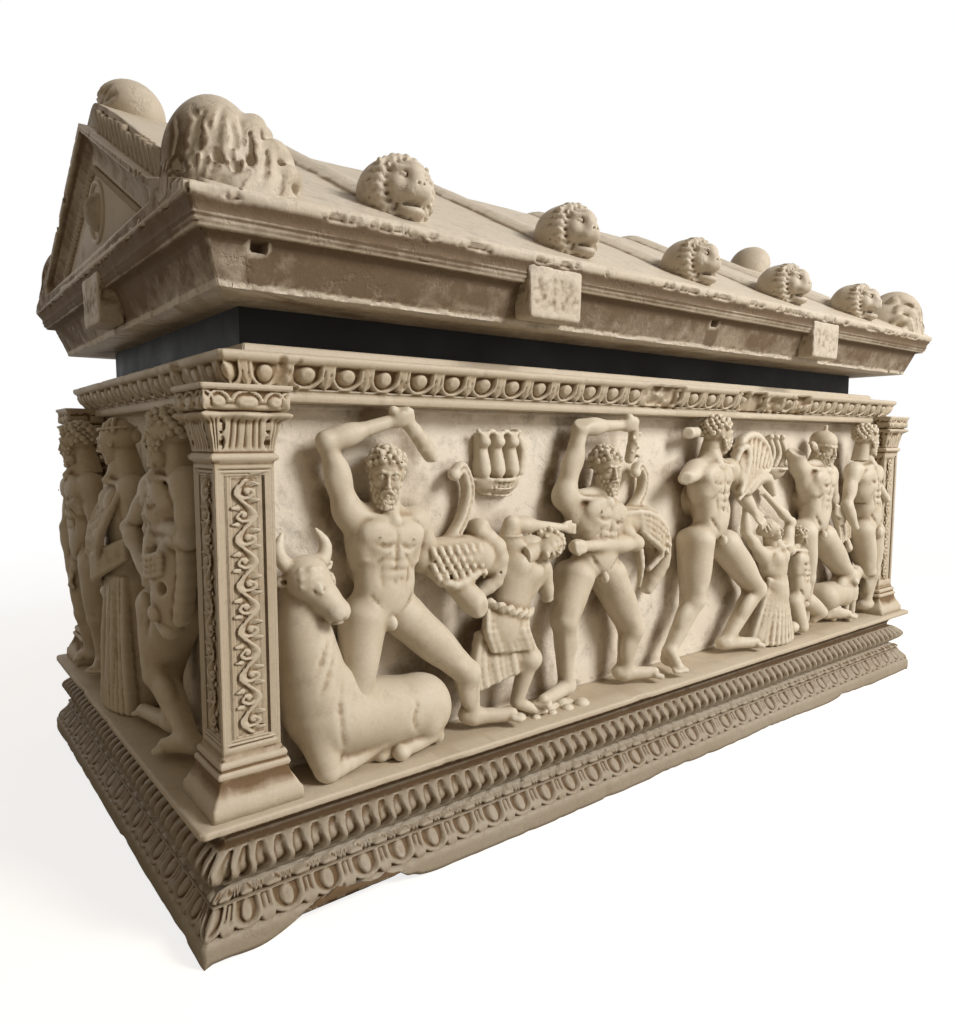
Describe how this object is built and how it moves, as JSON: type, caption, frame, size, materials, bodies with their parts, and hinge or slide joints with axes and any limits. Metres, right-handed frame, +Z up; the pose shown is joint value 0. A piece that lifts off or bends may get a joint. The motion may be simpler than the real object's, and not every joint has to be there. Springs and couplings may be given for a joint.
{
  "type": "carved marble sarcophagus",
  "caption": "Marble sarcophagus: hollow chest with relief figures between corner pilasters, moulded base, black support frame and a gabled lid with leaf and lion-head ornaments.",
  "frame": {"origin": "centre of the base's underside, on the floor", "axes": "+X along the chest's length, the main carved side faces -Y, +Z up"},
  "size_m": [2.35, 1.222, 1.4829],
  "materials": {
    "chest_marble": "aged warm marble, brown patina in the hollows of the carving",
    "figure_marble": "paler, smoothed marble of the relief figures",
    "lid_marble": "weathered marble, chipped edges",
    "frame_black": "satin black paint"
  },
  "bodies": {
    "chest": {"base_plinth": "chest_marble", "base_torus": "chest_marble", "figure_ledge": "chest_marble", "trough": "chest_marble", "cornice": "chest_marble", "pilaster_front_left": "chest_marble", "pilaster_front_right": "chest_marble", "pilaster_back_left": "chest_marble", "pilaster_back_right": "chest_marble", "club_bearer": "figure_marble", "kneeling_bull": "figure_marble", "kneeling_captive": "figure_marble", "wrestler": "figure_marble", "jar_bowl": "figure_marble", "striding_man": "figure_marble", "kneeling_woman": "figure_marble", "small_kneeling_man": "figure_marble", "capped_man": "figure_marble", "hound": "figure_marble", "standing_man": "figure_marble", "small_bowl": "figure_marble", "lyre_player": "figure_marble", "robed_woman": "figure_marble", "outer_man": "figure_marble", "right_robed_woman": "figure_marble", "right_spear_man": "figure_marble", "right_robed_man": "figure_marble", "back_robed_woman": "figure_marble", "back_spear_man": "figure_marble", "back_robed_man": "figure_marble", "back_staff_man": "figure_marble"},
    "support_frame": {"frame_rail_front": "frame_black", "frame_rail_back": "frame_black", "frame_rail_left": "frame_black", "frame_rail_right": "frame_black"},
    "lid": {"lid_block": "lid_marble", "corner_leaf_back_left": "lid_marble", "corner_leaf_back_right": "lid_marble", "corner_leaf_front_left": "lid_marble", "corner_leaf_front_right": "lid_marble", "lifting_boss_back_1": "lid_marble", "lifting_boss_back_2": "lid_marble", "lifting_boss_front_1": "lid_marble", "lifting_boss_front_2": "lid_marble", "lifting_boss_left": "lid_marble", "lifting_boss_right": "lid_marble", "lion_spout_back_1": "lid_marble", "lion_spout_back_2": "lid_marble", "lion_spout_back_3": "lid_marble", "lion_spout_back_4": "lid_marble", "lion_spout_back_5": "lid_marble", "lion_spout_front_1": "lid_marble", "lion_spout_front_2": "lid_marble", "lion_spout_front_3": "lid_marble", "lion_spout_front_4": "lid_marble", "lion_spout_front_5": "lid_marble", "pediment_disc_left": "lid_marble", "pediment_disc_right": "lid_marble", "ridge_leaf_left": "lid_marble", "ridge_leaf_right": "lid_marble"}
  },
  "joints": [
    {"name": "frame_lift", "type": "slide", "parent": "chest", "child": "support_frame", "axis": [0, 0, 1], "range_m": [0, 0.3]},
    {"name": "lid_lift", "type": "slide", "parent": "support_frame", "child": "lid", "axis": [0, 0, 1], "range_m": [0, 0.8]}
  ]
}
